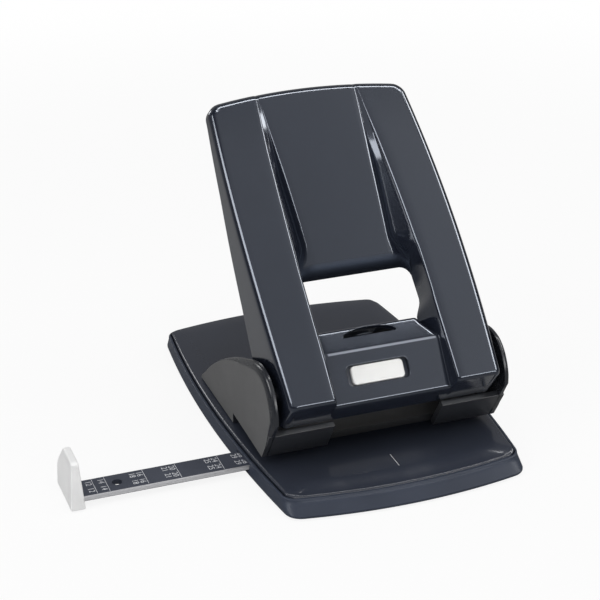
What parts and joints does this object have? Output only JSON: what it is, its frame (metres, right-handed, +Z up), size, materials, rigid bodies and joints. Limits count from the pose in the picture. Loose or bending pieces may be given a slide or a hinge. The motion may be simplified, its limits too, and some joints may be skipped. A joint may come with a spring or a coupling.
{
  "type": "paper hole punch",
  "caption": "Heavy duty lever hole punch: glossy slanted handle with a hand window over a low wide base, slide lock on its crossbar and a drawn-out side guide.",
  "frame": {"origin": "on the table, under the middle of the chip cover, halfway along the base on its centre line", "axes": "+X to the right seen from the front, +Y to the back, +Z up"},
  "size_m": [0.2123, 0.1992, 0.1515],
  "materials": {
    "handle_gloss": "deep blue-grey high gloss",
    "plate_gloss": "dark blue-grey glossy paint",
    "frame_moulding": "dark grey satin moulding",
    "bracket_paint": "dark grey satin paint",
    "lock_backing": "black, matt",
    "lock_white": "white, satin",
    "cap_white": "white, satin",
    "bar_print": "dark printed scale with bare edges",
    "track_moulding": "dark grey",
    "chip_cover": "dark grey, fine grain",
    "bush_nylon": "natural nylon",
    "lever_steel": "plain pressed steel",
    "latch_steel": "plain strip",
    "spring_steel": "drawn wire and strip",
    "dull_steel": "turned, dull",
    "tool_steel": "ground and hardened",
    "screw_steel": "zinc plated",
    "foot_rubber": "black"
  },
  "bodies": {
    "base": {"base_frame": "frame_moulding", "base_plate": "plate_gloss", "foot_front_left": "foot_rubber", "foot_front_right": "foot_rubber", "foot_back_left": "foot_rubber", "foot_back_right": "foot_rubber", "bracket_screw_front_left": "screw_steel", "bracket_screw_front_right": "screw_steel", "bracket_screw_back_left": "screw_steel", "bracket_screw_back_right": "screw_steel", "bridge_screw_left": "screw_steel", "bridge_screw_right": "screw_steel", "die_left": "tool_steel", "die_right": "tool_steel", "bracket_left": "bracket_paint", "bracket_right": "bracket_paint", "punch_bridge": "bracket_paint", "punch_guide_left": "dull_steel", "punch_guide_right": "dull_steel", "return_spring_left": "spring_steel", "return_spring_right": "spring_steel", "pivot_axle": "tool_steel", "guide_track": "track_moulding", "guide_detent": "spring_steel", "chip_hinge_left": "chip_cover", "chip_hinge_right": "chip_cover"},
    "handle": {"lever_frame": "lever_steel", "handle_cover": "handle_gloss", "press_bar": "tool_steel", "pivot_bush_left": "bush_nylon", "pivot_bush_right": "bush_nylon", "lock_plate": "lock_backing", "cover_screw_low_left": "screw_steel", "cover_screw_low_right": "screw_steel", "cover_screw_high_left": "screw_steel", "cover_screw_high_right": "screw_steel"},
    "lock": {"lock_button": "lock_white", "lock_latch": "latch_steel"},
    "punch_left": {"punch_pin_left": "tool_steel", "spring_seat_left": "dull_steel"},
    "punch_right": {"punch_pin_right": "tool_steel", "spring_seat_right": "dull_steel"},
    "side_guide": {"guide_bar": "bar_print", "guide_cap": "cap_white"},
    "chip_tray": {"chip_cover": "chip_cover"}
  },
  "joints": [
    {"name": "handle_press", "type": "hinge", "parent": "base", "child": "handle", "pos_m": [0, -0.0493, 0.04], "axis": [-1, 0, 0], "range_deg": [0, 32], "stiffness_Nm_per_rad": 0.6, "springref_deg": -28.65},
    {"name": "lock_slide", "type": "slide", "parent": "handle", "child": "lock", "axis": [-1, 0, 0], "range_m": [0, 0.002]},
    {"name": "punch_left_slide", "type": "slide", "parent": "base", "child": "punch_left", "axis": [0, 0, -1], "range_m": [0, 0.0125], "stiffness_N_per_m": 400, "springref_m": -0.012, "deforming": ["return_spring_left"]},
    {"name": "punch_right_slide", "type": "slide", "parent": "base", "child": "punch_right", "axis": [0, 0, -1], "range_m": [0, 0.0125], "stiffness_N_per_m": 400, "springref_m": -0.012, "deforming": ["return_spring_right"]},
    {"name": "guide_slide", "type": "slide", "parent": "base", "child": "side_guide", "axis": [1, 0, 0], "range_m": [0, 0.0755]},
    {"name": "chip_cover_hinge", "type": "hinge", "parent": "base", "child": "chip_tray", "pos_m": [0, 0.08216, 0.0044], "axis": [1, 0, 0], "range_deg": [0, 60]}
  ],
  "couplings": [
    {"joint": "punch_left_slide", "follows": "handle_press", "m_per_rad": 0.022},
    {"joint": "punch_right_slide", "follows": "handle_press", "m_per_rad": 0.022}
  ]
}
